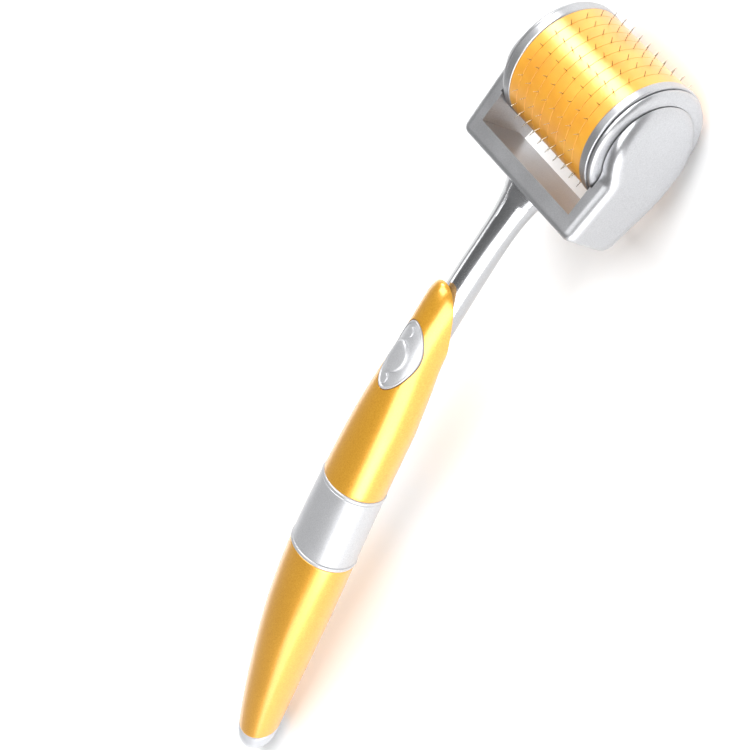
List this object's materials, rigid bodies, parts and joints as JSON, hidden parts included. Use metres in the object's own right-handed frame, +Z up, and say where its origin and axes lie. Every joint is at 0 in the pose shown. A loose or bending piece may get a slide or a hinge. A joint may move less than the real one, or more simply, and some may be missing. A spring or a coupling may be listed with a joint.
{
  "type": "derma roller",
  "caption": "Micro-needle skin roller: a gold drum of fine needles spins in a plated yoke on a slim curved handle with an oval inlay, a plated waist band and a pearly tail.",
  "frame": {"origin": "centre of the bounding box's footprint, on the surface that the roller lies on", "axes": "+X along the handle from the tail towards the drum, +Y along the drum's axle towards the left arm, +Z up, out of the front of the roller"},
  "size_m": [0.146, 0.0294, 0.0222],
  "materials": {
    "gold_lacquer": "glossy gold lacquer",
    "satin_plating": "satin silver plating over moulded plastic",
    "needle_steel": "bright stainless steel",
    "inner_resin": "plain off-white moulding",
    "pearl_cap": "pearly white gloss"
  },
  "bodies": {
    "handle": {"yoke_frame": "satin_plating", "cheek_disc_left": "satin_plating", "cheek_disc_right": "satin_plating", "neck_stem": "satin_plating", "inlay_plate": "satin_plating", "inlay_lug": "satin_plating", "inlay_bar_upper": "satin_plating", "inlay_bar_lower": "satin_plating", "grip_band": "satin_plating", "band_ring_upper": "satin_plating", "band_ring_lower": "satin_plating", "axle_pin": "needle_steel", "thrust_washer_left": "needle_steel", "thrust_washer_right": "needle_steel", "tang_screw": "needle_steel", "tang_collar": "inner_resin", "joining_spigot": "inner_resin", "upper_handle_shell": "gold_lacquer", "lower_handle_shell": "gold_lacquer", "tail_plug": "pearl_cap"},
    "drum": {"drum_flange_left": "satin_plating", "drum_flange_right": "satin_plating", "needle_disc_1": "needle_steel", "needle_disc_2": "needle_steel", "needle_disc_3": "needle_steel", "needle_disc_4": "needle_steel", "needle_disc_5": "needle_steel", "needle_disc_6": "needle_steel", "needle_disc_7": "needle_steel", "needle_disc_8": "needle_steel", "drum_hub": "inner_resin", "drum_bushing_left": "inner_resin", "drum_bushing_right": "inner_resin", "drum_ring_1": "gold_lacquer", "drum_ring_2": "gold_lacquer", "drum_ring_3": "gold_lacquer", "drum_ring_4": "gold_lacquer", "drum_ring_5": "gold_lacquer", "drum_ring_6": "gold_lacquer", "drum_ring_7": "gold_lacquer", "drum_ring_8": "gold_lacquer", "drum_ring_9": "gold_lacquer"}
  },
  "joints": [
    {"name": "drum_spin", "type": "hinge", "parent": "handle", "child": "drum", "pos_m": [0.0621, 0, 0.01092], "axis": [0, 1, 0], "continuous": true}
  ]
}
